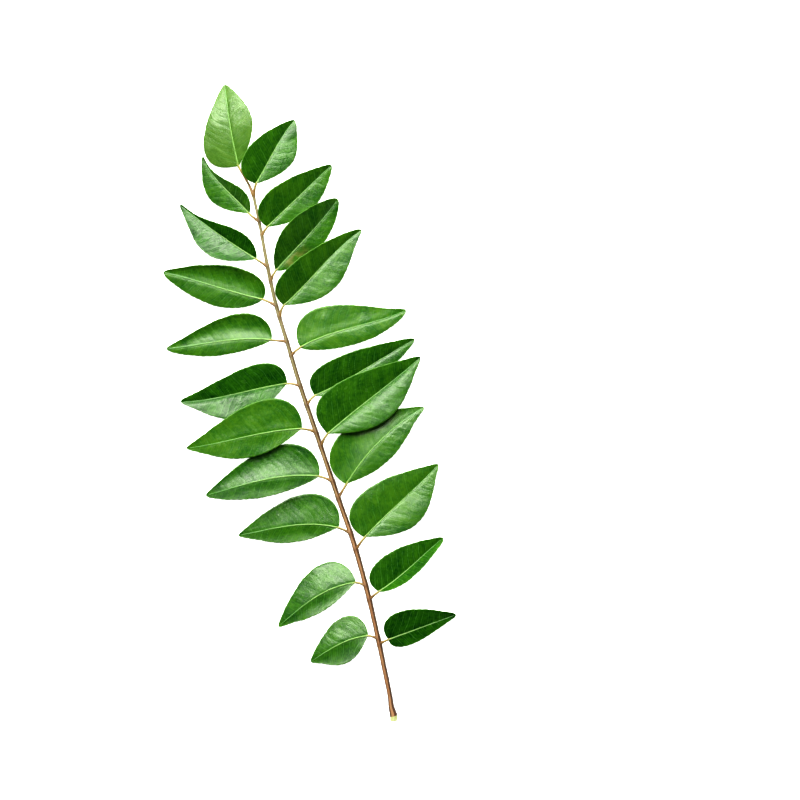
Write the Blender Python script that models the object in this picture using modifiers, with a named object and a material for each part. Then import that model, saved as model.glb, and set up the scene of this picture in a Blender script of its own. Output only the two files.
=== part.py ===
"""A sprig of curry leaves, lying flat: one slender leaf stalk, an end leaflet and side leaflets along it.

Metres, +Z up, and the sprig lies on Z = 0. +Y runs along the sprig, from its cut end to its tip.
Every leaflet is one grown piece: a short stalk of its own and a blade that folds along its midrib.
"""

import math
from typing import NamedTuple

import bmesh
import bpy
from mathutils import Vector
from mathutils.geometry import interpolate_bezier

# Driving dimensions. The design is drawn in units of 1/230 of the sprig's length, which are millimetres here.
SPRIG_LENGTH = 0.230
UNIT = SPRIG_LENGTH / 230
BLADE_THICKNESS = 0.36
LEAFLET_STALK_RADIUS = 0.42
TIP_WIDTH = 1.0
GAP = 0.3

# A leaflet's own stalk: how much thinner it ends in the blade, how far up the leaf stalk's side it starts in
# radii, how far it leans along the leaf stalk on its way out, and how much it swings round to the midrib.
STALK_THINNING = 0.35
FOOT_LIFT = 0.25
FOOT_LEAN = 0.4
STALK_SWING = 0.25

# The two points where it runs in under the midrib, as shares of the blade's length.
RUN_IN = (0.05, 0.12)

# The end leaflet's own stalk starts past the leaf stalk's end, and bends to the right on its way.
END_FOOT = (-0.1, GAP, 0)
END_BEND = (0.3, 0, 0)
END_BEND_SHARE = 0.4

# How finely the shapes are divided.
BLADE_STATIONS = 12
BLADE_COLUMNS = 4
STATION_CROWDING = 1.5
ROUTE_STEPS = 4
LEAFLET_STALK_STEPS = 2
TUBE_SIDES_SETTING = 2
MERGE_DISTANCE = 0.00001
SHARP_ANGLE = math.radians(50)

# Colours and roughness.
STALK_BROWN = ((0.26, 0.17, 0.07), 0.5)
LEAF_GREEN = ((0.03, 0.15, 0.012), 0.32)
YOUNG_GREEN = ((0.12, 0.27, 0.03), 0.38)


class Half(NamedTuple):
    """One half of a blade, beside the midrib."""

    width: float  # from midrib to margin where it is widest
    widest: float  # where that is, as a share of the blade's length from its base
    taper: float  # 1 is a full oval, and more draws both ends in
    set_back: float  # how far the margin lags behind the midrib, in widths
    slope: float  # degrees, up from midrib to margin on the whole
    cup: float  # degrees by which it is steeper at the midrib, and flatter at the margin


class Leaflet(NamedTuple):
    name: str
    leaves_at: float  # Y on the leaf stalk where the leaflet's own stalk starts
    base: tuple  # X, Y where the blade starts
    length: float
    heading: float  # degrees, clockwise from +Y, seen from above
    bow: float  # how far the midrib swings to its left
    hook: float  # how much more it does so near the base than near the tip
    left: Half  # left and right are as seen from above, looking from the base to the tip
    right: Half
    heights: tuple  # of the midrib, at base, middle and tip


# The leaf stalk's centre line, from the cut end up: X, Y, Z and radius.
STALK_ROUTE = (
    (0, 0, 1.3, 1.2),
    (0.5, 2, 1.3, 1.3),
    (0.5, 5, 1.3, 1.0),
    (1, 9, 1.4, 0.85),
    (1.5, 18, 1.7, 0.85),
    (2, 28, 2.0, 0.85),
    (2.5, 42, 2.3, 0.85),
    (2.5, 56, 2.5, 0.9),
    (2, 68, 2.6, 0.85),
    (1, 80, 2.7, 0.85),
    (0, 94, 2.8, 0.8),
    (-1, 108, 2.9, 0.8),
    (-2, 122, 3.0, 0.75),
    (-2.5, 136, 3.0, 0.7),
    (-3, 150, 2.9, 0.65),
    (-2.5, 164, 2.8, 0.6),
    (-1.5, 178, 2.7, 0.5),
    (-1, 190, 2.6, 0.45),
)

# The forms that a half's margin takes: where it is widest, its taper and its set back, as in Half.
ROUND = (0.25, 1.3, 0)
OVAL = (0.3, 1.6, 0.2)
SWEPT = (0.35, 1.7, 0.45)
EVEN = (0.45, 1.6, -0.1)
FORWARD = (0.45, 1.8, -0.5)
LONG = (0.45, 2.4, -0.1)
LOW = (0.25, 2.8, -0.2)

LEAFLETS = (
    Leaflet("leaflet_terminal", 190, (-3.5, 200.5), 29, 5, 0.5, 0,
            Half(10.5, *ROUND, -2, 5), Half(8, *FORWARD, 6, 2), (2.3, 2.9, 0.7)),
    Leaflet("leaflet_right_01", 189, (1, 193), 26, 45, 0.5, -0.5,
            Half(8, *SWEPT, 29, 2), Half(7.5, *FORWARD, -4, 3), (3.4, 2.3, 0.5)),
    Leaflet("leaflet_right_02", 175, (1, 177.5), 31, 60, 0, 0,
            Half(8, *SWEPT, 28, 2), Half(6.5, *FORWARD, -5, 3), (3.2, 1.6, 0.3)),
    Leaflet("leaflet_right_03", 159, (0, 162), 33, 55, -0.5, 0.5,
            Half(7.5, *EVEN, 35, 2), Half(6, *EVEN, -8, 3), (3.6, 2.0, 0.7)),
    Leaflet("leaflet_right_04", 146, (-0.5, 149.5), 38, 60, 0.5, -1,
            Half(8, *ROUND, 27, 2), Half(8.5, *LONG, 2, 3), (3.8, 2.3, 0.3)),
    Leaflet("leaflet_right_05", 132, (1.5, 134), 39, 85, 0.5, 1.5,
            Half(10, *OVAL, -2, -4), Half(6, *EVEN, 0, 3), (3.6, 2.5, 0.2)),
    Leaflet("leaflet_right_06", 114, (2, 116.5), 40, 75, -0.5, -0.5,
            Half(8.5, *ROUND, 16, 3), Half(5.5, *FORWARD, 2, 5), (3.2, 1.4, 0.3)),
    Leaflet("leaflet_right_07", 99, (3, 102.5), 42, 65, 0, 0.5,
            Half(11.5, *ROUND, 14, 3), Half(9.5, *LONG, 9, 10), (3.7, 1.9, 0.8)),
    Leaflet("leaflet_right_08", 80, (5, 84), 38, 60, 2.5, 0,
            Half(11.5, *SWEPT, 0, -12), Half(7, *LONG, 2, 4), (3.3, 2.8, 0.3)),
    Leaflet("leaflet_right_09", 61, (6.5, 64.5), 36, 60, 0, 0.5,
            Half(11.5, *SWEPT, 6, 5), Half(9.5, *LONG, 7, 5), (3.2, 1.5, 0.2)),
    Leaflet("leaflet_right_10", 43, (6.5, 45), 29, 65, -0.5, -0.5,
            Half(9, *SWEPT, 10, 4), Half(3, *EVEN, 56, 5), (3.0, 1.4, 0.3)),
    Leaflet("leaflet_right_11", 27, (5.5, 28), 25, 85, 0, 0,
            Half(8, *SWEPT, 18, 2), Half(4.5, *OVAL, -9, -3), (2.8, 1.6, 0.3)),
    Leaflet("leaflet_left_01", 180, (-4, 183.5), 26, -25, 1, -1,
            Half(6.5, *LONG, -7, 3), Half(4, *LOW, 36, 4), (2.8, 1.5, 0.2)),
    Leaflet("leaflet_left_02", 164, (-5.5, 167.5), 33, -40, 0.5, 0,
            Half(8, *LONG, 14, -8), Half(5, *LOW, 26, 3), (3.0, 1.3, 0.2)),
    Leaflet("leaflet_left_03", 150, (-7, 153.5), 36, -60, 0, 0.5,
            Half(6.5, *EVEN, -3, 3), Half(8.5, *SWEPT, 11, -24), (3.0, 2.1, 1.1)),
    Leaflet("leaflet_left_04", 137, (-7.5, 139), 37, -80, -1, -1,
            Half(5, *FORWARD, -2, 3), Half(9, *OVAL, 1, -19), (3.0, 2.2, 1.1)),
    Leaflet("leaflet_left_05", 121, (-6, 123), 38, -85, 0.5, -1,
            Half(9, *LONG, 13, 4), Half(8.5, *ROUND, 10, 2), (3.0, 0.7, 0.3)),
    Leaflet("leaflet_left_06", 104, (-5, 106.5), 41, -85, -0.5, -1,
            Half(7.5, *LONG, 1, -4), Half(11.5, *OVAL, 1, -6), (4.1, 4.1, 1.6)),
    Leaflet("leaflet_left_07", 86, (-3.5, 89), 40, -85, -2, -1,
            Half(6, *FORWARD, 5, -6), Half(11, *SWEPT, -8, -12), (3.7, 4.6, 2.6)),
    Leaflet("leaflet_left_08", 67, (-1.5, 70), 35, -80, -2, -1,
            Half(6, *LONG, 2, -8), Half(10.5, *SWEPT, -6, -5), (3.2, 2.7, 1.4)),
    Leaflet("leaflet_left_09", 48, (-0.5, 50), 31, -105, -2.5, -1,
            Half(5.5, *LONG, 9, -12), Half(9, *SWEPT, -17, 1), (2.9, 3.7, 1.9)),
    Leaflet("leaflet_left_10", 29, (-1, 31), 22, -100, -1.5, -0.5,
            Half(7, *LONG, 9, -12), Half(8, *SWEPT, -15, 0), (2.7, 2.9, 1.5)),
)


def half_width(half, t):
    """The plan width of a half at t of the blade's length: an oval with its ends drawn in and a blunt tip."""
    p = half.widest
    oval = ((t / p) ** p * ((1 - t) / (1 - p)) ** (1 - p)) ** half.taper
    return half.width * oval + TIP_WIDTH * t**8 * (1 - t**24) ** 0.5


def midrib(leaf, t):
    """The midrib's point at t, as (ahead of the base, left of the heading, height)."""
    swing = 4 * t * (1 - t) * (leaf.bow + leaf.hook * (1 - 2 * t))
    root, middle, tip = leaf.heights
    height = root * (1 - t) * (1 - 2 * t) + 4 * middle * t * (1 - t) - tip * t * (1 - 2 * t)
    return leaf.length * t, swing, height


def blade_point(leaf, t, v):
    """A point of the blade's middle surface. v is -1 at the right margin, 0 at the midrib, 1 at the left."""
    half = leaf.left if v > 0 else leaf.right
    ahead, leftward, height = midrib(leaf, t)
    width = half_width(half, t)
    share = abs(v)
    ahead -= half.set_back * width * (1 - t) * share
    leftward += width * v
    height += width * share * math.tan(math.radians(half.slope))
    height += width * share * (1 - share) * math.tan(math.radians(half.cup))
    turn = math.radians(leaf.heading)
    x = leaf.base[0] + ahead * math.sin(turn) - leftward * math.cos(turn)
    y = leaf.base[1] + ahead * math.cos(turn) + leftward * math.sin(turn)
    return Vector((x, y, height))


def clear_scene():
    for obj in list(bpy.data.objects):
        bpy.data.objects.remove(obj, do_unlink=True)


def make_collection(name, hidden=False):
    collection = bpy.data.collections.new(name)
    collection.hide_render = hidden
    bpy.context.scene.collection.children.link(collection)
    return collection


def make_material(name, colour, roughness):
    material = bpy.data.materials.new(name)
    material.use_nodes = True
    shader = material.node_tree.nodes["Principled BSDF"]
    shader.inputs["Base Color"].default_value = (*colour, 1.0)
    shader.inputs["Roughness"].default_value = roughness
    shader.inputs["Metallic"].default_value = 0.0
    material.diffuse_color = (*colour, 1.0)
    return material


def smooth_route(points, steps):
    """A smooth line through the points, which are Vectors, with this many steps between two of them."""
    line = []
    last = len(points) - 1
    for i in range(last):
        before = points[max(i - 1, 0)]
        after = points[min(i + 2, last)]
        start_pull = (points[i + 1] - before) / 6
        end_pull = (after - points[i]) / 6
        handles = (points[i], points[i] + start_pull, points[i + 1] - end_pull, points[i + 1])
        line += interpolate_bezier(*handles, steps + 1)[:-1]
    return line + [points[last]]


def tube_mesh(name, route, radii):
    """A closed round tube along the route, with its radius at each point, as a mesh in metres."""
    curve = bpy.data.curves.new(name, "CURVE")
    curve.dimensions = "3D"
    curve.bevel_depth = UNIT
    curve.bevel_resolution = TUBE_SIDES_SETTING
    curve.use_fill_caps = True
    spline = curve.splines.new("POLY")
    spline.points.add(len(route) - 1)
    for point, place, radius in zip(spline.points, route, radii):
        point.co = (*(place * UNIT), 1.0)
        point.radius = radius
    guide = bpy.data.objects.new(name + "_guide", curve)
    bpy.context.scene.collection.objects.link(guide)
    bpy.context.view_layer.update()
    mesh = bpy.data.meshes.new_from_object(guide.evaluated_get(bpy.context.evaluated_depsgraph_get()))
    bpy.data.objects.remove(guide, do_unlink=True)
    bpy.data.curves.remove(curve)
    shape = bmesh.new()
    shape.from_mesh(mesh)
    bmesh.ops.remove_doubles(shape, verts=shape.verts, dist=MERGE_DISTANCE)
    bmesh.ops.recalc_face_normals(shape, faces=shape.faces)
    shape.to_mesh(mesh)
    shape.free()
    mesh.name = name
    return mesh


def add_object(name, mesh, material, collection, parent):
    mesh.materials.clear()
    mesh.materials.append(material)
    mesh.shade_smooth()
    mesh.set_sharp_from_angle(angle=SHARP_ANGLE)
    obj = bpy.data.objects.new(name, mesh)
    obj.parent = parent
    collection.objects.link(obj)
    return obj


def stalk_line():
    """The leaf stalk's centre line and its radius at each point."""
    places = smooth_route([Vector(point[:3]) for point in STALK_ROUTE], ROUTE_STEPS)
    radii = smooth_route([Vector((point[3], 0, 0)) for point in STALK_ROUTE], ROUTE_STEPS)
    return places, [radius.x for radius in radii]


def stalk_at(y, places, radii):
    """The centre and the radius of the leaf stalk at this Y."""
    for i in range(len(places) - 1):
        if y <= places[i + 1].y:
            share = (y - places[i].y) / (places[i + 1].y - places[i].y)
            return places[i].lerp(places[i + 1], share), radii[i] + share * (radii[i + 1] - radii[i])
    return places[-1], radii[-1]


def leaflet_stalk_route(leaf, places, radii):
    """From just clear of the leaf stalk to a little way along the midrib, where it sinks in."""
    centre, radius = stalk_at(leaf.leaves_at, places, radii)
    base = blade_point(leaf, 0, 0)
    inward, end = [blade_point(leaf, share, 0) for share in RUN_IN]
    if leaf.name == "leaflet_terminal":
        foot = places[-1] + Vector(END_FOOT)
        bend = foot.lerp(base, END_BEND_SHARE) + Vector(END_BEND)
    else:
        clear = radius + GAP + LEAFLET_STALK_RADIUS
        foot = centre + Vector((math.copysign(clear, base.x - centre.x), 0, 0))
        foot.z = centre.z + FOOT_LIFT * radius
        foot.y += FOOT_LEAN * clear
        straight = foot.lerp(base, 0.5)
        tangent = base - (inward - base).normalized() * 0.5 * (base - foot).length
        bend = straight.lerp(tangent, STALK_SWING)
    return smooth_route([foot, bend, base, inward, end], LEAFLET_STALK_STEPS)


def add_stalk(material, collection, parent):
    places, radii = stalk_line()
    add_object("rachis", tube_mesh("rachis", places, radii), material, collection, parent)


def blade_mesh(leaf):
    """The blade's middle surface: a grid whose two ends close to the base and the tip."""
    shape = bmesh.new()
    bmesh.ops.create_grid(shape, x_segments=BLADE_STATIONS, y_segments=BLADE_COLUMNS, size=1)
    for vertex in shape.verts:
        t = ((vertex.co.x + 1) / 2) ** STATION_CROWDING
        vertex.co = blade_point(leaf, min(max(t, 0.0), 1.0), vertex.co.y) * UNIT
    bmesh.ops.remove_doubles(shape, verts=shape.verts, dist=MERGE_DISTANCE)
    bmesh.ops.recalc_face_normals(shape, faces=shape.faces)
    mesh = bpy.data.meshes.new(leaf.name)
    shape.to_mesh(mesh)
    shape.free()
    return mesh


def add_leaflet(leaf, material, collection, helpers, parent):
    places, radii = stalk_line()
    route = leaflet_stalk_route(leaf, places, radii)
    last = len(route) - 1
    thickness = [LEAFLET_STALK_RADIUS * (1 - STALK_THINNING * i / last) for i in range(last + 1)]
    stalk_name = leaf.name + "_stalk"
    stalk = add_object(stalk_name, tube_mesh(stalk_name, route, thickness), material, helpers, parent)
    stalk.hide_render = True
    stalk.display_type = "WIRE"

    blade = add_object(leaf.name, blade_mesh(leaf), material, collection, parent)
    wall = blade.modifiers.new("thickness", "SOLIDIFY")
    wall.thickness = BLADE_THICKNESS * UNIT
    wall.offset = 0
    joined = blade.modifiers.new("own_stalk", "BOOLEAN")
    joined.operation = "UNION"
    joined.object = stalk


def centre_on_surface(sprig, origin):
    """Moves the sprig so that the middle of its box lies above the origin and its underside on Z = 0."""
    bpy.context.view_layer.update()
    graph = bpy.context.evaluated_depsgraph_get()
    corners = [
        obj.matrix_world @ Vector(corner)
        for obj in sprig.objects
        if obj.type == "MESH"
        for corner in obj.evaluated_get(graph).bound_box
    ]
    low = Vector([min(corner[axis] for corner in corners) for axis in range(3)])
    high = Vector([max(corner[axis] for corner in corners) for axis in range(3)])
    origin.location = (-(low.x + high.x) / 2, -(low.y + high.y) / 2, -low.z)


def build():
    clear_scene()
    sprig = make_collection("curry_leaf_sprig")
    helpers = make_collection("helpers", hidden=True)
    origin = bpy.data.objects.new("sprig_origin", None)
    sprig.objects.link(origin)
    stalk_brown = make_material("stalk_brown", *STALK_BROWN)
    leaf_green = make_material("leaf_green", *LEAF_GREEN)
    young_green = make_material("young_green", *YOUNG_GREEN)
    add_stalk(stalk_brown, sprig, origin)
    for leaf in LEAFLETS:
        green = young_green if leaf.name == "leaflet_terminal" else leaf_green
        add_leaflet(leaf, green, sprig, helpers, origin)
    centre_on_surface(sprig, origin)


build()
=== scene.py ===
"""The looks of a curry leaf sprig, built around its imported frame."""

import math
from typing import NamedTuple

import bpy
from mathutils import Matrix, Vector
from mathutils.geometry import interpolate_bezier


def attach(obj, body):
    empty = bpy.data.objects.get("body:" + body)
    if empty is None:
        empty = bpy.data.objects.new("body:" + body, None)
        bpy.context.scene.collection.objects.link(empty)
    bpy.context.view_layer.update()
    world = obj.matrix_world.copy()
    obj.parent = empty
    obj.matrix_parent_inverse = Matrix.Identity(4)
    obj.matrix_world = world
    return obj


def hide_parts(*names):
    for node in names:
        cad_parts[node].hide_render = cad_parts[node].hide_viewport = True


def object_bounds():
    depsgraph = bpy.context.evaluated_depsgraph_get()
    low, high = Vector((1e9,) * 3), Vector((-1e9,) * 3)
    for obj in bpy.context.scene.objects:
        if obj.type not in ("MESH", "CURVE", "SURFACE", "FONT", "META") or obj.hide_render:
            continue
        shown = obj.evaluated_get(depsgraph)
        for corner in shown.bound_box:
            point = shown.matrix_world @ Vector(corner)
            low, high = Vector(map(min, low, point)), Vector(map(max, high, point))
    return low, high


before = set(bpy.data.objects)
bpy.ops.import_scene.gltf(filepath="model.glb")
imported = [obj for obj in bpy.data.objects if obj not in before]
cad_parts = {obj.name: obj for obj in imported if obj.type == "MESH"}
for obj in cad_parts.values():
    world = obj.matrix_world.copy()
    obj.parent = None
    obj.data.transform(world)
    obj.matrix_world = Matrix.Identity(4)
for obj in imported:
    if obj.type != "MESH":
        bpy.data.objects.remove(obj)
CAD_LOW, CAD_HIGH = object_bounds()


# ---------------------------------------------------------------- the sprig's design, in units of about 1 mm

class Half(NamedTuple):
    """One half of a blade, beside the midrib."""

    width: float  # from midrib to margin where it is widest
    widest: float  # where that is, as a share of the blade's length from its base
    taper: float  # 1 is a full oval, and more draws both ends in
    set_back: float  # how far the margin lags behind the midrib, in widths
    slope: float  # degrees, up from midrib to margin on the whole
    cup: float  # degrees by which it is steeper at the midrib, and flatter at the margin


class Leaflet(NamedTuple):
    name: str
    leaves_at: float  # Y on the leaf stalk where the leaflet's own stalk starts
    base: tuple  # X, Y where the blade starts
    length: float
    heading: float  # degrees, clockwise from +Y, seen from above
    bow: float  # how far the midrib swings to its left
    hook: float  # how much more it does so near the base than near the tip
    left: Half
    right: Half
    heights: tuple  # of the midrib, at base, middle and tip
    tone: float  # 0 is the deepest green, 1 the youngest


# The leaf stalk's centre line, from the cut end up: X, Y, Z and radius.
STALK_ROUTE = (
    (0, 0, 1.3, 1.2),
    (0.5, 2, 1.3, 1.3),
    (0.5, 5, 1.3, 1.0),
    (1, 9, 1.4, 0.85),
    (1.5, 18, 1.7, 0.85),
    (2, 28, 2.0, 0.85),
    (2.5, 42, 2.3, 0.85),
    (2.5, 56, 2.5, 0.9),
    (2, 68, 2.6, 0.85),
    (1, 80, 2.7, 0.85),
    (0, 94, 2.8, 0.8),
    (-1, 108, 2.9, 0.8),
    (-2, 122, 3.0, 0.75),
    (-2.5, 136, 3.0, 0.7),
    (-3, 150, 2.9, 0.65),
    (-2.5, 164, 2.8, 0.6),
    (-1.5, 178, 2.7, 0.5),
    (-1, 190, 2.6, 0.45),
)

# The forms that a half's margin takes: where it is widest, its taper and its set back, as in Half.
ROUND = (0.25, 1.3, 0)
OVAL = (0.3, 1.6, 0.2)
SWEPT = (0.35, 1.7, 0.45)
EVEN = (0.45, 1.6, -0.1)
FORWARD = (0.45, 1.8, -0.5)
LONG = (0.45, 2.4, -0.1)
LOW = (0.25, 2.8, -0.2)

LEAFLETS = (
    Leaflet("leaflet_terminal", 190, (-3.5, 200.5), 29, 5, 0.5, 0,
            Half(10.5, *ROUND, -2, 5), Half(8, *FORWARD, 6, 2), (2.3, 2.9, 0.7), 1.0),
    Leaflet("leaflet_right_01", 189, (1, 193), 26, 45, 0.5, -0.5,
            Half(8, *SWEPT, 29, 2), Half(7.5, *FORWARD, -4, 3), (3.4, 2.3, 0.5), 0.2),
    Leaflet("leaflet_right_02", 175, (1, 177.5), 31, 60, 0, 0,
            Half(8, *SWEPT, 28, 2), Half(6.5, *FORWARD, -5, 3), (3.2, 1.6, 0.3), 0.28),
    Leaflet("leaflet_right_03", 159, (0, 162), 33, 55, -0.5, 0.5,
            Half(7.5, *EVEN, 35, 2), Half(6, *EVEN, -8, 3), (3.6, 2.0, 0.7), 0.27),
    Leaflet("leaflet_right_04", 146, (-0.5, 149.5), 38, 60, 0.5, -1,
            Half(8, *ROUND, 27, 2), Half(8.5, *LONG, 2, 3), (3.8, 2.3, 0.3), 0.3),
    Leaflet("leaflet_right_05", 132, (1.5, 134), 39, 85, 0.5, 1.5,
            Half(10, *OVAL, -2, -4), Half(6, *EVEN, 0, 3), (3.6, 2.5, 0.2), 0.42),
    Leaflet("leaflet_right_06", 114, (2, 116.5), 40, 75, -0.5, -0.5,
            Half(8.5, *ROUND, 16, 3), Half(5.5, *FORWARD, 2, 5), (3.2, 1.4, 0.3), 0.19),
    Leaflet("leaflet_right_07", 99, (3, 102.5), 42, 65, 0, 0.5,
            Half(11.5, *ROUND, 14, 3), Half(9.5, *LONG, 9, 10), (3.7, 1.9, 0.8), 0.22),
    Leaflet("leaflet_right_08", 80, (5, 84), 38, 60, 2.5, 0,
            Half(11.5, *SWEPT, 0, -12), Half(7, *LONG, 2, 4), (3.3, 2.8, 0.3), 0.33),
    Leaflet("leaflet_right_09", 61, (6.5, 64.5), 36, 60, 0, 0.5,
            Half(11.5, *SWEPT, 6, 5), Half(9.5, *LONG, 7, 5), (3.2, 1.5, 0.2), 0.34),
    Leaflet("leaflet_right_10", 43, (6.5, 45), 29, 65, -0.5, -0.5,
            Half(9, *SWEPT, 10, 4), Half(3, *EVEN, 56, 5), (3.0, 1.4, 0.3), 0.17),
    Leaflet("leaflet_right_11", 27, (5.5, 28), 25, 85, 0, 0,
            Half(8, *SWEPT, 18, 2), Half(4.5, *OVAL, -9, -3), (2.8, 1.6, 0.3), 0.0),
    Leaflet("leaflet_left_01", 180, (-4, 183.5), 26, -25, 1, -1,
            Half(6.5, *LONG, -7, 3), Half(4, *LOW, 36, 4), (2.8, 1.5, 0.2), 0.26),
    Leaflet("leaflet_left_02", 164, (-5.5, 167.5), 33, -40, 0.5, 0,
            Half(8, *LONG, 14, -8), Half(5, *LOW, 26, 3), (3.0, 1.3, 0.2), 0.04),
    Leaflet("leaflet_left_03", 150, (-7, 153.5), 36, -60, 0, 0.5,
            Half(6.5, *EVEN, -3, 3), Half(8.5, *SWEPT, 11, -24), (3.0, 2.1, 1.1), 0.29),
    Leaflet("leaflet_left_04", 137, (-7.5, 139), 37, -80, -1, -1,
            Half(5, *FORWARD, -2, 3), Half(9, *OVAL, 1, -19), (3.0, 2.2, 1.1), 0.3),
    Leaflet("leaflet_left_05", 121, (-6, 123), 38, -85, 0.5, -1,
            Half(9, *LONG, 13, 4), Half(8.5, *ROUND, 10, 2), (3.0, 0.7, 0.3), 0.09),
    Leaflet("leaflet_left_06", 104, (-5, 106.5), 41, -85, -0.5, -1,
            Half(7.5, *LONG, 1, -4), Half(11.5, *OVAL, 1, -6), (4.1, 4.1, 1.6), 0.42),
    Leaflet("leaflet_left_07", 86, (-3.5, 89), 40, -85, -2, -1,
            Half(6, *FORWARD, 5, -6), Half(11, *SWEPT, -8, -12), (3.7, 4.6, 2.6), 0.2),
    Leaflet("leaflet_left_08", 67, (-1.5, 70), 35, -80, -2, -1,
            Half(6, *LONG, 2, -8), Half(10.5, *SWEPT, -6, -5), (3.2, 2.7, 1.4), 0.25),
    Leaflet("leaflet_left_09", 48, (-0.5, 50), 31, -105, -2.5, -1,
            Half(5.5, *LONG, 9, -12), Half(9, *SWEPT, -17, 1), (2.9, 3.7, 1.9), 0.22),
    Leaflet("leaflet_left_10", 29, (-1, 31), 22, -100, -1.5, -0.5,
            Half(7, *LONG, 9, -12), Half(8, *SWEPT, -15, 0), (2.7, 2.9, 1.5), 0.24),
)

# How strongly a leaflet is scarred.
BLEMISHES = {"leaflet_right_03": 0.5}

TIP_WIDTH = 1.0
CAD_THICKNESS = 0.36
CAD_STATIONS = 12
CAD_HALF_COLUMNS = 2
STATION_CROWDING = 1.5
BLADE_THICKNESS = 0.27
BLADE_STATIONS = 176
BLADE_COLUMNS = 72
COLUMN_CROWDING = 1.15
VEIN_PITCH = 2.5
TOOTH_PITCH = 2.1
TOOTH_DEPTH = 0.13
MERGE_DISTANCE = 0.000002

# A rib starts inside the leaf stalk: so many radii aside and up from its centre, and so far along it. Then it
# swings round to the midrib, and follows the blade at these shares of its length, this far under its middle.
# The radii are those at the foot, the bend, the blade's base and each of these shares.
FOOT_SIDE = 0.3
FOOT_LIFT = 0.2
FOOT_LEAN = 0.3
STALK_SWING = 0.25
RUN_IN = 0.05
END_SINK = 0.6
END_BEND = (0.3, 0, 0)
END_BEND_SHARE = 0.4
RIB_STATIONS = (0.04, 0.12, 0.25, 0.4, 0.55, 0.7, 0.85, 0.97)
RIB_DROP = 0.03
RIB_RADII = (0.62, 0.40, 0.37, 0.32, 0.27, 0.24, 0.21, 0.19, 0.17, 0.14, 0.09)
RIB_STEPS = 8

# The leaf stalk swells by this much at each joint, over this reach. Then the reach of the dark ring there, and
# of the pale cut end.
STALK_STEPS = 40
JOINT_SWELL = 0.10
JOINT_REACH = 1.1
RING_REACH = 0.9
CUT_REACH = 1.6


# ---------------------------------------------------------------- plain functions of the design

def half_width(half, t):
    """The plan width of a half at t of the blade's length."""
    p = half.widest
    oval = ((t / p) ** p * ((1 - t) / (1 - p)) ** (1 - p)) ** half.taper
    return half.width * oval + TIP_WIDTH * t**8 * (1 - t**24) ** 0.5


def midrib(leaf, t):
    """The midrib's point at t, as (ahead of the base, left of the heading, height)."""
    swing = 4 * t * (1 - t) * (leaf.bow + leaf.hook * (1 - 2 * t))
    root, middle, tip = leaf.heights
    height = root * (1 - t) * (1 - 2 * t) + 4 * middle * t * (1 - t) - tip * t * (1 - 2 * t)
    return leaf.length * t, swing, height


def blade_point(leaf, t, v):
    """A point of the blade's middle surface. v is -1 at the right margin, 0 at the midrib, 1 at the left."""
    half = leaf.left if v > 0 else leaf.right
    ahead, leftward, height = midrib(leaf, t)
    width = half_width(half, t)
    share = abs(v)
    ahead -= half.set_back * width * (1 - t) * share
    leftward += width * v
    height += width * share * math.tan(math.radians(half.slope))
    height += width * share * (1 - share) * math.tan(math.radians(half.cup))
    turn = math.radians(leaf.heading)
    x = leaf.base[0] + ahead * math.sin(turn) - leftward * math.cos(turn)
    y = leaf.base[1] + ahead * math.cos(turn) + leftward * math.sin(turn)
    return Vector((x, y, height))


def design_box():
    """The low and high corners of the sprig as designed."""
    places = [Vector((x, y, z - radius)) for x, y, z, radius in STALK_ROUTE]
    places += [
        blade_point(leaf, (station / CAD_STATIONS) ** STATION_CROWDING, column / CAD_HALF_COLUMNS)
        + Vector((0, 0, lift))
        for leaf in LEAFLETS
        for station in range(CAD_STATIONS + 1)
        for column in range(-CAD_HALF_COLUMNS, CAD_HALF_COLUMNS + 1)
        for lift in (-CAD_THICKNESS / 2, CAD_THICKNESS / 2)
    ]
    low = Vector([min(place[axis] for place in places) for axis in range(3)])
    high = Vector([max(place[axis] for place in places) for axis in range(3)])
    return low, high


DESIGN_LOW, DESIGN_HIGH = design_box()
UNIT = (CAD_HIGH.y - CAD_LOW.y) / (DESIGN_HIGH.y - DESIGN_LOW.y)
SHIFT = (CAD_LOW + CAD_HIGH) / 2 - UNIT * (DESIGN_LOW + DESIGN_HIGH) / 2
SHIFT.z = CAD_LOW.z


def placed(point):
    """A point of the design, in the frame and in metres."""
    return UNIT * Vector(point) + SHIFT


def smooth_route(points, steps):
    """A smooth line through the points, with this many steps between two of them."""
    line = []
    last = len(points) - 1
    for i in range(last):
        before = points[max(i - 1, 0)]
        after = points[min(i + 2, last)]
        start_pull = (points[i + 1] - before) / 6
        end_pull = (after - points[i]) / 6
        handles = (points[i], points[i] + start_pull, points[i + 1] - end_pull, points[i + 1])
        line += interpolate_bezier(*handles, steps + 1)[:-1]
    return line + [points[last]]


# ---------------------------------------------------------------- node trees written as sums

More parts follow.
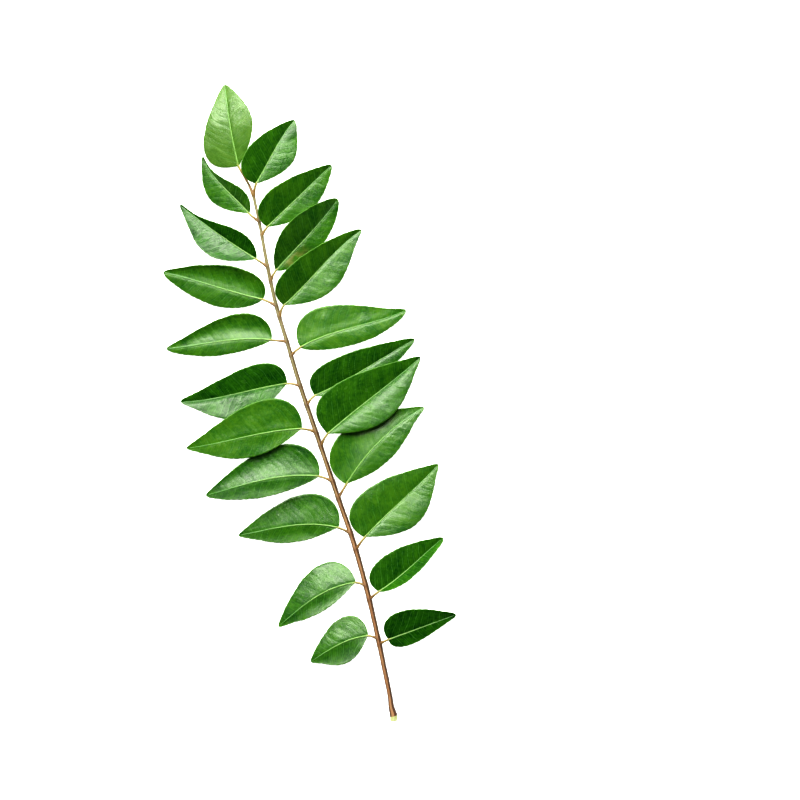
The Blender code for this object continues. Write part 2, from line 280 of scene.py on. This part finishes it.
class Value:
    """A value inside a node tree. Arithmetic on it adds Math nodes."""

    def __init__(self, tree, socket):
        self.tree = tree
        self.socket = socket

    def maths(self, operation, *others, **settings):
        node = self.tree.nodes.new("ShaderNodeMath")
        node.operation = operation
        for name, setting in settings.items():
            setattr(node, name, setting)
        for socket, value in zip(node.inputs, (self, *others)):
            feed(socket, value)
        return Value(self.tree, node.outputs[0])

    def turned(self, operation, other):
        node = self.tree.nodes.new("ShaderNodeMath")
        node.operation = operation
        feed(node.inputs[0], other)
        feed(node.inputs[1], self)
        return Value(self.tree, node.outputs[0])

    def __add__(self, other):
        return self.maths("ADD", other)

    def __radd__(self, other):
        return self.maths("ADD", other)

    def __sub__(self, other):
        return self.maths("SUBTRACT", other)

    def __rsub__(self, other):
        return self.turned("SUBTRACT", other)

    def __mul__(self, other):
        return self.maths("MULTIPLY", other)

    def __rmul__(self, other):
        return self.maths("MULTIPLY", other)

    def __truediv__(self, other):
        return self.maths("DIVIDE", other)

    def __pow__(self, other):
        return self.maths("POWER", other)

    def __abs__(self):
        return self.maths("ABSOLUTE")

    def __gt__(self, other):
        return self.maths("GREATER_THAN", other)

    def sin(self):
        return self.maths("SINE")

    def cos(self):
        return self.maths("COSINE")

    def least(self, other):
        return self.maths("MINIMUM", other)

    def most(self, other):
        return self.maths("MAXIMUM", other)

    def ramp(self, start, end):
        """0 before start, 1 after end, and smooth between them."""
        node = add_node(self.tree, "ShaderNodeMapRange", interpolation_type="SMOOTHSTEP")
        feed(node.inputs["Value"], self)
        feed(node.inputs["From Min"], start)
        feed(node.inputs["From Max"], end)
        return Value(self.tree, node.outputs["Result"])

    def saw(self):
        """0 halfway between whole numbers and 1 at each of them."""
        return abs(self.maths("FRACT") * 2 - 1)


def feed(socket, value):
    if isinstance(value, Value):
        value.tree.links.new(value.socket, socket)
    else:
        socket.default_value = value


def add_node(tree, kind, inputs=None, **settings):
    node = tree.nodes.new(kind)
    for name, setting in settings.items():
        setattr(node, name, setting)
    for name, value in (inputs or {}).items():
        feed(node.inputs[name], value)
    return node


def vector(tree, x, y, z):
    node = add_node(tree, "ShaderNodeCombineXYZ", {"X": x, "Y": y, "Z": z})
    return Value(tree, node.outputs[0])


def parts_of(tree, value):
    node = add_node(tree, "ShaderNodeSeparateXYZ", {"Vector": value})
    return [Value(tree, socket) for socket in node.outputs]


def noise(tree, place, scale, detail=2.0, roughness=0.5):
    """Noise from -1 to 1."""
    grain = {"Vector": place, "Scale": scale, "Detail": detail, "Roughness": roughness}
    node = add_node(tree, "ShaderNodeTexNoise", grain)
    return Value(tree, node.outputs[0]) * 2 - 1


def new_geometry_tree(name, inputs):
    """A Geometry Nodes tree with these named inputs, each (name, socket type), and its inputs as values."""
    tree = bpy.data.node_groups.new(name, "GeometryNodeTree")
    tree.interface.new_socket("Geometry", in_out="INPUT", socket_type="NodeSocketGeometry")
    for label, kind in inputs:
        tree.interface.new_socket(label, in_out="INPUT", socket_type=kind)
    tree.interface.new_socket("Geometry", in_out="OUTPUT", socket_type="NodeSocketGeometry")
    entry = tree.nodes.new("NodeGroupInput")
    given = {socket.name: Value(tree, socket) for socket in entry.outputs if socket.name}
    return tree, given


def store(tree, geometry, name, value, domain="POINT"):
    node = add_node(tree, "GeometryNodeStoreNamedAttribute", {"Geometry": geometry, "Name": name},
                    data_type="FLOAT", domain=domain)
    feed(node.inputs["Value"], value)
    return Value(tree, node.outputs[0])


def end_tree(tree, geometry, material):
    realized = add_node(tree, "GeometryNodeRealizeInstances", {"Geometry": geometry})
    finish = add_node(tree, "GeometryNodeSetMaterial",
                      {"Geometry": Value(tree, realized.outputs[0]), "Material": material})
    smooth = add_node(tree, "GeometryNodeSetShadeSmooth", {"Geometry": Value(tree, finish.outputs[0])})
    leave = tree.nodes.new("NodeGroupOutput")
    feed(leave.inputs[0], Value(tree, smooth.outputs[0]))


def grown(name, source, tree, values):
    """The plain mesh that the tree makes from the source data with these input values, as an object."""
    maker = bpy.data.objects.new(name + "_maker", source)
    bpy.context.scene.collection.objects.link(maker)
    modifier = maker.modifiers.new("grow", "NODES")
    modifier.node_group = tree
    for item in tree.interface.items_tree:
        if item.item_type == "SOCKET" and item.in_out == "INPUT" and item.name in values:
            modifier[item.identifier] = values[item.name]
    graph = bpy.context.evaluated_depsgraph_get()
    result = maker.evaluated_get(graph)
    mesh = bpy.data.meshes.new_from_object(result, preserve_all_data_layers=True, depsgraph=graph)
    bpy.data.objects.remove(maker, do_unlink=True)
    mesh.name = name
    piece = bpy.data.objects.new(name, mesh)
    bpy.context.scene.collection.objects.link(piece)
    return piece


# ---------------------------------------------------------------- finishes

def new_shader(name):
    material = bpy.data.materials.new(name)
    material.use_nodes = True
    tree = material.node_tree
    return material, tree, tree.nodes["Principled BSDF"]


def attribute(tree, name):
    return Value(tree, add_node(tree, "ShaderNodeAttribute", attribute_name=name).outputs["Fac"])


def object_place(tree):
    return Value(tree, add_node(tree, "ShaderNodeTexCoord").outputs["Object"])


def blend_colour(tree, share, first, second):
    """The first colour where the share is 0 and the second where it is 1."""
    node = add_node(tree, "ShaderNodeMix", data_type="RGBA", clamp_factor=True)
    feed(node.inputs[0], share)
    for socket, colour in ((node.inputs[6], first), (node.inputs[7], second)):
        feed(socket, colour if isinstance(colour, Value) else (*colour, 1.0))
    return Value(tree, node.outputs[2])


def add_bump(tree, shader, height, distance, strength):
    node = add_node(tree, "ShaderNodeBump", {"Height": height, "Distance": distance, "Strength": strength})
    feed(shader.inputs["Normal"], Value(tree, node.outputs[0]))


def leaf_material():
    """Waxy green: deep and glossy above, paler and duller below, with light veins and painted shade in the
    grooves beside them.
    """
    material, tree, shader = new_shader("curry_leaf")
    place = object_place(tree)
    tone = attribute(tree, "tone")
    vein = attribute(tree, "vein")
    under = attribute(tree, "under")
    rim = attribute(tree, "rim")
    mottle = attribute(tree, "mottle")
    ripple = attribute(tree, "ripple")
    patchy = noise(tree, place, 140.0, 3.0)
    fine = noise(tree, place, 1100.0, 2.0)
    full = tone.ramp(0.0, 0.6)
    young = tone.ramp(0.6, 1.0)
    deep = blend_colour(tree, full, (0.001, 0.040, 0.001), (0.020, 0.115, 0.006))
    deep = blend_colour(tree, young, deep, (0.052, 0.134, 0.015))
    lively = blend_colour(tree, full, (0.027, 0.132, 0.003), (0.082, 0.200, 0.012))
    lively = blend_colour(tree, young, lively, (0.092, 0.192, 0.025))
    upper = blend_colour(tree, 0.5 + 0.6 * patchy + 0.9 * mottle + 0.7 * fine + 0.1 * ripple, deep, lively)
    # Painted shade: the bands beside the veins, where the blade dips, are darkened towards the deep green.
    upper = blend_colour(tree, 0.55 * attribute(tree, "painted_vein_groove_shade"), upper, deep)
    upper = blend_colour(tree, 0.5 * vein, upper, (0.11, 0.30, 0.065))
    upper = blend_colour(tree, 0.35 * rim, upper, (0.13, 0.30, 0.03))
    blemish = attribute(tree, "blemish")
    upper = blend_colour(tree, blemish, upper, (0.27, 0.22, 0.07))
    lower = blend_colour(tree, 0.5 + 0.5 * patchy, (0.10, 0.24, 0.045), (0.15, 0.31, 0.07))
    lower = blend_colour(tree, 0.6 * vein, lower, (0.26, 0.42, 0.13))
    feed(shader.inputs["Base Color"], blend_colour(tree, under, upper, lower))
    feed(shader.inputs["Roughness"], 0.25 + 0.06 * patchy + 0.22 * under)
    shader.inputs["IOR"].default_value = 1.45
    shader.inputs["Specular Tint"].default_value = (0.95, 0.985, 0.85, 1.0)
    cells = add_node(tree, "ShaderNodeTexVoronoi", {"Vector": place, "Scale": 2600.0},
                     feature="DISTANCE_TO_EDGE")
    net = Value(tree, cells.outputs["Distance"]).ramp(0.0, 0.12)
    add_bump(tree, shader, net + 0.6 * fine, 0.00003, 0.35)
    return material


def rib_material():
    """The leaflets' own stalks and midribs: tan at the foot, yellow-green in the blade."""
    material, tree, shader = new_shader("leaflet_rib")
    place = object_place(tree)
    along = attribute(tree, "along")
    speckle = noise(tree, place, 1200.0, 3.0)
    brown = blend_colour(tree, 0.5 + speckle, (0.17, 0.085, 0.024), (0.30, 0.18, 0.06))
    yellow = blend_colour(tree, 0.5 + speckle, (0.27, 0.21, 0.05), (0.42, 0.34, 0.11))
    green = blend_colour(tree, 0.5 + speckle, (0.16, 0.33, 0.06), (0.26, 0.45, 0.13))
    fresh = blend_colour(tree, along.ramp(0.3, 0.9), green, (0.14, 0.33, 0.09))
    stem = blend_colour(tree, along.ramp(-0.09, -0.01), brown, yellow)
    feed(shader.inputs["Base Color"], blend_colour(tree, along.ramp(-0.02, 0.05), stem, fresh))
    shader.inputs["Roughness"].default_value = 0.42
    add_bump(tree, shader, speckle, 0.00003, 0.4)
    return material


def stalk_material():
    """The leaf stalk: tan-brown with lighter and darker streaks along it, a pale green foot, and painted shade
    that darkens its left and right sides as seen from above.
    """
    material, tree, shader = new_shader("leaf_stalk")
    place = object_place(tree)
    x, y, z = parts_of(tree, place)
    long_grain = noise(tree, vector(tree, x * 1500, y * 60, z * 1500), 1.0, 3.0)
    speckle = noise(tree, place, 900.0, 3.0)
    along = attribute(tree, "along")
    around = attribute(tree, "around")
    warm = blend_colour(tree, 0.5 + 0.9 * long_grain, (0.26, 0.125, 0.052), (0.48, 0.28, 0.14))
    cool = blend_colour(tree, 0.5 + 0.9 * long_grain, (0.17, 0.14, 0.055), (0.34, 0.30, 0.15))
    bark = blend_colour(tree, along.ramp(0.25, 0.75), warm, cool)
    # Painted shade: the stalk darkens towards its left and right sides as seen from above, least just left of
    # the middle and less near the top.
    side = abs(around * 2 - 0.84)
    edge = (side + 0.3 * long_grain).ramp(0.12, 0.6)
    bark = blend_colour(tree, edge * (1 - 0.6 * along.ramp(0.5, 0.9)), bark, (0.060, 0.022, 0.004))
    node_ring = attribute(tree, "joint")
    bark = blend_colour(tree, node_ring * 0.5, bark, (0.10, 0.04, 0.014))
    pale = blend_colour(tree, 0.5 + speckle, (0.44, 0.48, 0.18), (0.62, 0.66, 0.34))
    feed(shader.inputs["Base Color"], blend_colour(tree, attribute(tree, "cut"), bark, pale))
    shader.inputs["Roughness"].default_value = 0.5
    add_bump(tree, shader, long_grain + 0.5 * speckle, 0.00006, 0.5)
    return material


# ---------------------------------------------------------------- the leaflets' blades

NUMBER = "NodeSocketFloat"
HALF_INPUTS = [(f"{side} {field}", NUMBER) for side in ("Left", "Right") for field in Half._fields]
BLADE_INPUTS = [
    ("Base", "NodeSocketVector"),
    ("Length", NUMBER),
    ("Heading", NUMBER),
    ("Bow", NUMBER),
    ("Hook", NUMBER),
    ("Heights", "NodeSocketVector"),
    *HALF_INPUTS,
    ("Thickness", NUMBER),
    ("Vein Pitch", NUMBER),
    ("Tooth Pitch", NUMBER),
    ("Tooth Depth", NUMBER),
    ("Waviness", NUMBER),
    ("Tone", NUMBER),
    ("Blemish", NUMBER),
    ("Seed", NUMBER),
    ("Unit", NUMBER),
    ("Shift", "NodeSocketVector"),
]


def blade_tree(material):
    """A leaflet's blade as one closed shell: two sheets that meet in a rounded, toothed margin."""
    tree, given = new_geometry_tree("curry_leaflet_blade", BLADE_INPUTS)
    sheet = add_node(tree, "GeometryNodeMeshGrid",
                     {"Vertices X": BLADE_STATIONS + 1, "Vertices Y": BLADE_COLUMNS + 1})
    grid_x, grid_y, _ = parts_of(tree, Value(tree, add_node(tree, "GeometryNodeInputPosition").outputs[0]))
    even = (grid_x + 0.5).most(0.0).least(1.0)
    t = (0.5 * even + 0.25 - 0.25 * (even * math.pi).cos()).least(1.0)
    across = grid_y * 2
    share = abs(across).least(1.0) ** COLUMN_CROWDING
    on_left = across > 0

    def of_side(field):
        left, right = given["Left " + field], given["Right " + field]
        return right + (left - right) * on_left

    widest = of_side("widest")
    ends = (t / widest) ** widest * ((1 - t) / (1 - widest)) ** (1 - widest)
    blunt = TIP_WIDTH * t ** 8 * (1 - t ** 24).most(0.0) ** 0.5
    width = of_side("width") * ends ** of_side("taper") + blunt
    side = on_left * 2 - 1
    span = width * share
    ahead = given["Length"] * t - of_side("set_back") * span * (1 - t)

    seed_place = vector(tree, ahead + given["Seed"] * 31, span * side, given["Seed"] * 7)
    loose = noise(tree, seed_place, 0.11, 1.0)
    looser = noise(tree, seed_place, 0.28, 2.0)

    # The margin's fine rounded teeth.
    beat = abs(((ahead + 0.5 * looser) * math.pi / given["Tooth Pitch"]).sin()) ** 0.7
    notch = given["Tooth Depth"].least(0.12 * width) * (1 - beat) * share ** 9
    edge = width - span
    ragged = 0.42 * noise(tree, vector(tree, ahead * 0.17, given["Seed"] * 5, on_left * 9), 1.0, 2.5)
    span_cut = span - notch + ragged * t.ramp(0.15, 0.45) * share ** 3 * (span * 0.3).least(1.0)

    # The side veins, which run forward to the margin.
    bent = 0.5 * loose + 0.22 * looser
    run = (ahead - 0.5 * span - 0.02 * span * span) / given["Vein Pitch"] + 0.5 * on_left + bent
    open_blade = edge.ramp(0.2, 1.6) * (1 - t.ramp(0.88, 1.0))
    comb = run.saw()
    faintness = noise(tree, vector(tree, run * 0.45, span * side * 0.2, given["Seed"] * 17), 1.0, 2.0)
    vein = comb.ramp(0.88, 1.0) * open_blade * (0.75 + 1.2 * faintness).most(0.0).least(1.0)
    # Painted shade: a band on each side of a vein, where the blade dips, to be darkened in the colour.
    painted_vein_groove_shade = comb.ramp(0.4, 0.95) * (1 - vein) * open_blade * loose.ramp(-0.15, 0.4)
    cushion = (1 - comb * comb) * open_blade
    small_comb = (run * 3.0 + 0.4 * looser).saw()
    small_vein = small_comb.ramp(0.6, 1.0) * open_blade
    streaks = noise(tree, vector(tree, run * 0.7, span * side * 0.08, given["Seed"] * 3), 1.0, 1.0)
    streaks = streaks * open_blade
    crumple = noise(tree, vector(tree, run * 1.9, span * side * 0.32, given["Seed"] * 13), 1.0, 2.0)
    crumple = crumple * open_blade
    mottle = noise(tree, vector(tree, run * 0.55, span * side * 0.13, given["Seed"] * 11), 1.0, 3.0, 0.6)

    # A tan scar in one half, near the foot.
    scabs = noise(tree, vector(tree, ahead, span * side, given["Seed"] * 19), 0.45, 3.0)
    near_foot = t.ramp(0.06, 0.16) * (1 - t.ramp(0.26, 0.46))
    near_foot = near_foot * share.ramp(0.02, 0.25) * (1 - share.ramp(0.6, 1.0))
    blemish = given["Blemish"] * (1 - on_left) * near_foot * (0.55 + 1.6 * scabs).most(0.0).least(1.0)

    swing = 4 * t * (1 - t) * (given["Bow"] + given["Hook"] * (1 - 2 * t))
    root, middle, tip = parts_of(tree, given["Heights"])
    spine = root * (1 - t) * (1 - 2 * t) + 4 * middle * t * (1 - t) - tip * t * (1 - 2 * t)
    rise = (of_side("slope") * (math.pi / 180)).maths("TANGENT")
    cupping = (of_side("cup") * (math.pi / 180)).maths("TANGENT")
    slope_height = span * (rise + cupping * (1 - share))
    free = (span * 0.25).least(1.0)
    waves = given["Waviness"] * free * (0.36 * loose + 0.03 * looser)
    trough = 0.10 * (0 - span * span / 0.5).maths("EXPONENT")
    height = spine + slope_height + waves

    # The thickness rounds off to nothing at the margin.
    closeness = (edge / (0.8 * given["Thickness"])).least(1.0)
    bulk = given["Thickness"] / 2 * (1 - (1 - closeness) ** 2).most(0.0) ** 0.5
    fading = (edge * 2.5).least(1.0)
    relief = 0.02 * cushion + 0.056 * streaks + 0.031 * crumple - 0.012 * vein - 0.004 * small_vein - trough
    above = height + bulk + fading * relief
    below = height - bulk - fading * (0.07 * vein + 0.02 * small_vein)
    ground = 0.02

    turn = given["Heading"] * (math.pi / 180)
    leftward = swing + span_cut * side
    base_x, base_y, _ = parts_of(tree, given["Base"])
    shift_x, shift_y, shift_z = parts_of(tree, given["Shift"])
    x = (base_x + ahead * turn.sin() - leftward * turn.cos()) * given["Unit"] + shift_x
    y = (base_y + ahead * turn.cos() + leftward * turn.sin()) * given["Unit"] + shift_y

    surface = Value(tree, sheet.outputs["Mesh"])
    marks = (
        ("vein", (vein + 0.2 * small_vein).least(1.0)),
        ("rim", 1 - edge.ramp(0.05, 0.5)),
        ("tone", given["Tone"]),
        ("mottle", mottle),
        ("ripple", small_comb * open_blade),
        ("painted_vein_groove_shade", painted_vein_groove_shade),
        ("blemish", blemish),
    )
    for name, mark in marks:
        surface = store(tree, surface, name, mark)
    joined = add_node(tree, "GeometryNodeJoinGeometry")
    for level, is_under in ((above.most(ground + 0.1 * bulk), 0.0), (below.most(ground), 1.0)):
        place = vector(tree, x, y, level * given["Unit"] + shift_z)
        layer = store(tree, surface, "under", is_under)
        moved = add_node(tree, "GeometryNodeSetPosition", {"Geometry": layer, "Position": place})
        layer = Value(tree, moved.outputs[0])
        if is_under:
            layer = Value(tree, add_node(tree, "GeometryNodeFlipFaces", {"Mesh": layer}).outputs[0])
        tree.links.new(layer.socket, joined.inputs[0])
    merged = add_node(tree, "GeometryNodeMergeByDistance",
                      {"Geometry": Value(tree, joined.outputs[0]), "Distance": MERGE_DISTANCE})
    end_tree(tree, Value(tree, merged.outputs[0]), material)
    return tree


def blade_values(leaf, seed):
    values = {
        "Base": (*leaf.base, 0.0),
        "Length": leaf.length,
        "Heading": float(leaf.heading),
        "Bow": leaf.bow,
        "Hook": leaf.hook,
        "Heights": leaf.heights,
        "Thickness": BLADE_THICKNESS,
        "Vein Pitch": VEIN_PITCH,
        "Blemish": BLEMISHES.get(leaf.name, 0.0),
        "Tooth Pitch": TOOTH_PITCH,
        "Tooth Depth": TOOTH_DEPTH,
        "Waviness": 1.0,
        "Tone": leaf.tone,
        "Seed": float(seed),
        "Unit": UNIT,
        "Shift": tuple(SHIFT),
    }
    for side, half in (("Left", leaf.left), ("Right", leaf.right)):
        for field, value in zip(Half._fields, half):
            values[f"{side} {field}"] = float(value)
    return values


# ---------------------------------------------------------------- stalks and ribs

TUBE_INPUTS = [
    ("Sides", "NodeSocketInt"),
    ("Blade Start", NUMBER),
    ("Ridges", "NodeSocketInt"),
    ("Ridge Height", NUMBER),
    ("Roughness", NUMBER),
    ("Unit", NUMBER),
]


def tube_tree(name, material):
    """A round tube along a curve, with its radius from the curve, and low ridges along it."""
    tree, given = new_geometry_tree(name, TUBE_INPUTS)
    spline = add_node(tree, "GeometryNodeSplineParameter")
    along = Value(tree, spline.outputs["Factor"]) - given["Blade Start"]
    line = store(tree, given["Geometry"], "along", along)
    ring = add_node(tree, "GeometryNodeCurvePrimitiveCircle", {"Resolution": given["Sides"], "Radius": 1.0})
    turn = add_node(tree, "GeometryNodeSplineParameter")
    ring_line = store(tree, Value(tree, ring.outputs["Curve"]), "turn", Value(tree, turn.outputs["Factor"]))
    radius = Value(tree, add_node(tree, "GeometryNodeInputRadius").outputs[0])
    sweep = add_node(tree, "GeometryNodeCurveToMesh",
                     {"Curve": line, "Profile Curve": ring_line, "Scale": radius, "Fill Caps": True})
    body = Value(tree, sweep.outputs["Mesh"])
    around = add_node(tree, "GeometryNodeInputNamedAttribute", {"Name": "turn"}, data_type="FLOAT")
    angle = Value(tree, around.outputs[0]) * (2 * math.pi)
    place = Value(tree, add_node(tree, "GeometryNodeInputPosition").outputs[0])
    unit = given["Unit"]
    px, py, pz = parts_of(tree, place)
    grain = noise(tree, vector(tree, px / unit, py / unit * 0.35, pz / unit), 1.6, 2.0)
    swell = ((angle * given["Ridges"]).cos() * given["Ridge Height"] + grain * given["Roughness"]) * unit
    normal = Value(tree, add_node(tree, "GeometryNodeInputNormal").outputs[0])
    nx, ny, nz = parts_of(tree, normal)
    moved = add_node(tree, "GeometryNodeSetPosition",
                     {"Geometry": body, "Offset": vector(tree, nx * swell, ny * swell, nz * swell)})
    merged = add_node(tree, "GeometryNodeMergeByDistance",
                      {"Geometry": Value(tree, moved.outputs[0]), "Distance": MERGE_DISTANCE})
    end_tree(tree, Value(tree, merged.outputs[0]), material)
    return tree


def route_curve(name, route, radii):
    """A curve through the design's points, with a radius at each, in metres."""
    curve = bpy.data.curves.new(name, "CURVE")
    curve.dimensions = "3D"
    spline = curve.splines.new("POLY")
    spline.points.add(len(route) - 1)
    for point, place, radius in zip(spline.points, route, radii):
        point.co = (*placed(place), 1.0)
        point.radius = radius * UNIT
    return curve


def stalk_line(steps):
    places = smooth_route([Vector(point[:3]) for point in STALK_ROUTE], steps)
    radii = smooth_route([Vector((point[3], 0, 0)) for point in STALK_ROUTE], steps)
    return places, [radius.x for radius in radii]


def stalk_at(y, places, radii):
    """The centre and the radius of the leaf stalk at this Y."""
    for i in range(len(places) - 1):
        if y <= places[i + 1].y:
            share = (y - places[i].y) / (places[i + 1].y - places[i].y)
            return places[i].lerp(places[i + 1], share), radii[i] + share * (radii[i + 1] - radii[i])
    return places[-1], radii[-1]


def rib_route(leaf, places, radii):
    """From inside the leaf stalk, along the leaflet's own stalk and its midrib to the tip.

    Gives the points, the radius at each, and the share of the way at which the blade starts.
    """
    centre, radius = stalk_at(leaf.leaves_at, places, radii)
    base = blade_point(leaf, 0, 0)
    if leaf.name == "leaflet_terminal":
        foot = places[-1] - Vector((0, END_SINK, 0))
        bend = foot.lerp(base, END_BEND_SHARE) + Vector(END_BEND)
    else:
        side = math.copysign(1, base.x - centre.x)
        foot = centre + Vector((side * FOOT_SIDE * radius, FOOT_LEAN, FOOT_LIFT * radius))
        inward = (blade_point(leaf, RUN_IN, 0) - base).normalized()
        tangent = base - inward * 0.5 * (base - foot).length
        bend = foot.lerp(base, 0.5).lerp(tangent, STALK_SWING)
    drop = Vector((0, 0, RIB_DROP))
    spine = [blade_point(leaf, t, 0) - drop for t in RIB_STATIONS]
    corners = [foot, bend, base] + spine
    route = smooth_route(corners, RIB_STEPS)
    widths = smooth_route([Vector((size, 0, 0)) for size in RIB_RADII], RIB_STEPS)
    lengths = [(after - before).length for before, after in zip(route, route[1:])]
    blade_start = sum(lengths[: 2 * RIB_STEPS]) / sum(lengths)
    return route, [width.x for width in widths], blade_start


# ---------------------------------------------------------------- building the sprig

def add_leaflets():
    leaf_green = leaf_material()
    rib_green = rib_material()
    blade = blade_tree(leaf_green)
    tube = tube_tree("curry_leaflet_rib", rib_green)
    places, radii = stalk_line(RIB_STEPS)
    for seed, leaf in enumerate(LEAFLETS):
        empty = bpy.data.meshes.new(leaf.name + "_seed")
        piece = grown(leaf.name + "_blade", empty, blade, blade_values(leaf, seed + 1))
        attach(piece, "root")
        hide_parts(leaf.name)
        route, widths, blade_start = rib_route(leaf, places, radii)
        curve = route_curve(leaf.name + "_rib_line", route, widths)
        rib = grown(leaf.name + "_rib", curve, tube,
                    {"Sides": 12, "Blade Start": blade_start, "Ridges": 0, "Ridge Height": 0.0,
                     "Roughness": 0.02, "Unit": UNIT})
        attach(rib, "root")


def add_stalk():
    tree = tube_tree("curry_leaf_stalk", stalk_material())
    places, radii = stalk_line(STALK_STEPS)
    joints = [leaf.leaves_at for leaf in LEAFLETS[1:]]
    for i, place in enumerate(places):
        radii[i] += JOINT_SWELL * sum(math.exp(-(((place.y - joint) / JOINT_REACH) ** 2)) for joint in joints)
    curve = route_curve("rachis_line", places, radii)
    stalk = grown("rachis_bark", curve, tree,
                  {"Sides": 36, "Blade Start": 0.0, "Ridges": 5, "Ridge Height": 0.035, "Roughness": 0.05,
                   "Unit": UNIT})
    mesh = stalk.data
    for name in ("around", "joint", "cut"):
        mesh.attributes.new(name, "FLOAT", "POINT")
    foot = placed(STALK_ROUTE[0][:3]).y
    joint_places = [placed((0, joint, 0)).y for joint in joints]
    for i, vertex in enumerate(mesh.vertices):
        y = vertex.co.y
        nearest = min(abs(y - joint) for joint in joint_places)
        mesh.attributes["joint"].data[i].value = math.exp(-((nearest / UNIT / RING_REACH) ** 2))
        mesh.attributes["cut"].data[i].value = 1.0 if y - foot < CUT_REACH * UNIT else 0.0
        # around: which way the surface faces across the view, used for the painted shade on the stalk's sides.
        mesh.attributes["around"].data[i].value = 0.5 + 0.5 * vertex.normal.x
    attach(stalk, "root")
    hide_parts("rachis")


# ---------------------------------------------------------------- floor, light and camera

VIEW_WIDTH = 1.2175 * (CAD_HIGH.y - CAD_LOW.y)
VIEW_TURN = math.radians(14.61)
VIEW_CENTRE = (30.4, 107.6, 0.0)
LENS = 100.0
SENSOR = 36.0


def add_floor():
    bpy.ops.mesh.primitive_plane_add(size=24.0, location=(0, 0, -0.00005))
    floor = bpy.context.object
    floor.name = "floor"
    material, tree, shader = new_shader("white_board")
    shader.inputs["Base Color"].default_value = (0.92, 0.92, 0.92, 1.0)
    shader.inputs["Roughness"].default_value = 0.9
    shader.inputs["Specular IOR Level"].default_value = 0.1
    shader.inputs["Emission Color"].default_value = (1, 1, 1, 1)
    shader.inputs["Emission Strength"].default_value = 0.7
    floor.data.materials.append(material)


def add_panel(name, turn, from_zenith, distance, size, power, lights_colour=True, lights_gloss=True):
    """A soft rectangular lamp aimed at the sprig. Its turn is in degrees, clockwise from the view's top."""
    light = bpy.data.lights.new(name, "AREA")
    light.shape = "RECTANGLE"
    light.size, light.size_y = size
    light.energy = power
    heading = math.radians(turn) + VIEW_TURN
    lean = math.radians(from_zenith)
    away = Vector((math.sin(heading) * math.sin(lean), math.cos(heading) * math.sin(lean), math.cos(lean)))
    lamp = bpy.data.objects.new(name, light)
    lamp.location = away * distance
    lamp.rotation_euler = away.to_track_quat("Z", "Y").to_euler()
    lamp.visible_diffuse = lights_colour
    lamp.visible_glossy = lights_gloss
    bpy.context.scene.collection.objects.link(lamp)


def add_sky():
    """Soft light all round, dark overhead so that flat leaves keep their colour."""
    world = bpy.data.worlds.new("studio")
    world.use_nodes = True
    tree = world.node_tree
    _, _, up = parts_of(tree, Value(tree, add_node(tree, "ShaderNodeTexCoord").outputs["Generated"]))
    strength = 0.22 - 0.21 * up.ramp(0.05, 0.5)
    feed(tree.nodes["Background"].inputs["Strength"], strength)
    tree.nodes["Background"].inputs["Color"].default_value = (1, 1, 1, 1)
    bpy.context.scene.world = world


def add_lights():
    add_panel("key_softbox", -8, 52, 1.1, (1.15, 0.75), 29.8, lights_gloss=False)
    add_panel("gloss_strip", -8, 29, 2.4, (1.75, 0.46), 58.0, lights_colour=False)
    add_panel("fill_softbox", 172, 40, 1.6, (1.2, 1.2), 3.6, lights_gloss=False)
    add_sky()


def add_camera():
    camera = bpy.data.cameras.new("camera")
    camera.lens = LENS
    camera.sensor_width = SENSOR
    camera.clip_end = 50.0
    target = placed(VIEW_CENTRE)
    holder = bpy.data.objects.new("camera", camera)
    holder.location = target + Vector((0, 0, VIEW_WIDTH * LENS / SENSOR))
    holder.rotation_euler = (0, 0, -VIEW_TURN)
    bpy.context.scene.collection.objects.link(holder)
    bpy.context.scene.camera = holder


add_leaflets()
add_stalk()
add_floor()
add_lights()
add_camera()
bpy.context.scene.view_settings.view_transform = "Standard"
bpy.context.scene.view_settings.look = "High Contrast"
